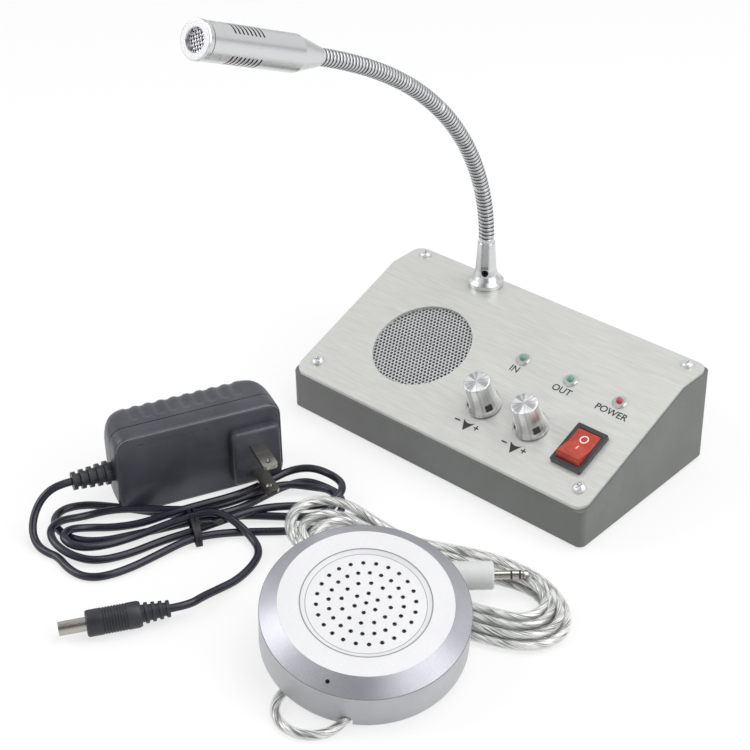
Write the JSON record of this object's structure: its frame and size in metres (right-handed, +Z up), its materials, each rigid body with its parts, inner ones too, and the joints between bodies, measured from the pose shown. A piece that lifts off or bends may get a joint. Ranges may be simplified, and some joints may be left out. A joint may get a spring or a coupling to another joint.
{
  "type": "teller window intercom",
  "caption": "Teller window intercom kit: sloped console with gooseneck microphone, round customer speaker on a clear cord, plug-in power adapter with cord.",
  "frame": {"origin": "middle of the console's footprint on the desk, on the face of the rubber foot under the centre of its base plate", "axes": "+Z up, +X right along the console's front edge, +Y back; -Z is out of the faces of the console's feet"},
  "size_m": [0.2096, 0.2592, 0.2213],
  "materials": {
    "case_grey": "satin",
    "brushed_panel": "satin",
    "screw_steel": "satin",
    "mesh_silver": "satin",
    "satin_chrome": "satin",
    "dark_steel": "satin",
    "knob_silver": "satin",
    "lens_green": "gloss",
    "lens_red": "gloss",
    "switch_black": "matte",
    "rocker_red": "gloss",
    "rubber_black": "matte",
    "board_green": "matte",
    "brass_parts": "satin",
    "puck_grey": "satin",
    "puck_white": "satin",
    "cone_black": "matte",
    "cord_clear": "gloss",
    "cord_black": "gloss",
    "plug_white": "satin",
    "adapter_black": "satin",
    "plug_metal": "gloss"
  },
  "bodies": {
    "base": {"housing": "case_grey", "top_panel": "brushed_panel", "panel_screws": "screw_steel", "speaker_grille": "mesh_silver", "mic_socket": "satin_chrome", "socket_screw": "dark_steel", "base_plate": "screw_steel", "underside_screws": "screw_steel", "feet": "rubber_black", "speaker_driver": "cone_black", "speaker_cone": "cone_black", "circuit_board": "board_green", "board_parts": "brass_parts", "power_socket": "switch_black", "line_socket": "switch_black", "pots": "plug_metal", "panel_nuts": "plug_metal", "led_holders": "plug_metal", "led_green": "lens_green", "led_red": "lens_red", "switch_body": "switch_black", "puck_base": "puck_grey", "puck_cover": "puck_grey", "puck_face": "puck_white", "puck_speaker": "cone_black", "puck_cone": "cone_black", "puck_mic": "cone_black", "clear_cord_loop": "cord_clear", "clear_cord_hank": "cord_clear", "clear_cord_tail": "cord_clear", "jack_body": "plug_white", "jack_pin": "plug_metal", "jack_rings": "switch_black", "power_cord_start": "cord_black", "power_cord_hank": "cord_black", "cord_tie": "switch_black", "power_cord_end": "cord_black", "dc_body": "adapter_black", "dc_barrel": "plug_metal", "dc_insulator": "switch_black", "adapter_front": "adapter_black", "adapter_back": "adapter_black", "adapter_blades": "plug_metal", "adapter_relief": "adapter_black"},
    "neck_1": {"neck_link_1": "satin_chrome"},
    "neck_2": {"neck_link_2": "satin_chrome"},
    "neck_3": {"neck_link_3": "satin_chrome"},
    "neck_4": {"neck_link_4": "satin_chrome"},
    "neck_5": {"neck_link_5": "satin_chrome"},
    "neck_6": {"neck_link_6": "satin_chrome", "mic_body": "satin_chrome", "mic_bezel": "satin_chrome", "mic_grille": "dark_steel", "mic_capsule": "dark_steel"},
    "knob_in": {"knob_in": "knob_silver", "shaft_in": "plug_metal"},
    "knob_out": {"knob_out": "knob_silver", "shaft_out": "plug_metal"},
    "rocker": {"switch_rocker": "rocker_red"}
  },
  "joints": [
    {"name": "neck_nod_1", "type": "hinge", "parent": "base", "child": "neck_1", "pos_m": [-0.0338, 0.035, 0.0684], "axis": [1, 0, 0], "range_deg": [-25, 25]},
    {"name": "neck_swing_1", "type": "hinge", "parent": "neck_1", "child": "neck_2", "pos_m": [-0.0338, 0.0309, 0.09593], "axis": [0, -0.9566, -0.2913], "range_deg": [-25, 25]},
    {"name": "neck_nod_2", "type": "hinge", "parent": "neck_2", "child": "neck_3", "pos_m": [-0.0338, 0.01947, 0.12133], "axis": [1, 0, 0], "range_deg": [-25, 25]},
    {"name": "neck_swing_2", "type": "hinge", "parent": "neck_3", "child": "neck_4", "pos_m": [-0.0338, 0.00243, 0.1434], "axis": [0, -0.7219, -0.692], "range_deg": [-25, 25]},
    {"name": "neck_nod_3", "type": "hinge", "parent": "neck_4", "child": "neck_5", "pos_m": [-0.0338, -0.01854, 0.1618], "axis": [1, 0, 0], "range_deg": [-25, 25]},
    {"name": "neck_swing_3", "type": "hinge", "parent": "neck_5", "child": "neck_6", "pos_m": [-0.0338, -0.04208, 0.1768], "axis": [0, -0.4807, -0.8769], "range_deg": [-25, 25]},
    {"name": "knob_in", "type": "hinge", "parent": "base", "child": "knob_in", "pos_m": [0.011, -0.02048, 0.02886], "axis": [0, -0.352, 0.936], "range_deg": [-150, 150]},
    {"name": "knob_out", "type": "hinge", "parent": "base", "child": "knob_out", "pos_m": [0.036, -0.02048, 0.02886], "axis": [0, -0.352, 0.936], "range_deg": [-150, 150]},
    {"name": "switch", "type": "hinge", "parent": "base", "child": "rocker", "pos_m": [0.0608, -0.02048, 0.02886], "axis": [1, 0, 0], "range_deg": [0, 20]}
  ],
  "couplings": [
    {"joint": "neck_nod_2", "follows": "neck_nod_1", "ratio": 1},
    {"joint": "neck_nod_3", "follows": "neck_nod_1", "ratio": 1},
    {"joint": "neck_swing_2", "follows": "neck_swing_1", "ratio": 1},
    {"joint": "neck_swing_3", "follows": "neck_swing_1", "ratio": 1}
  ]
}
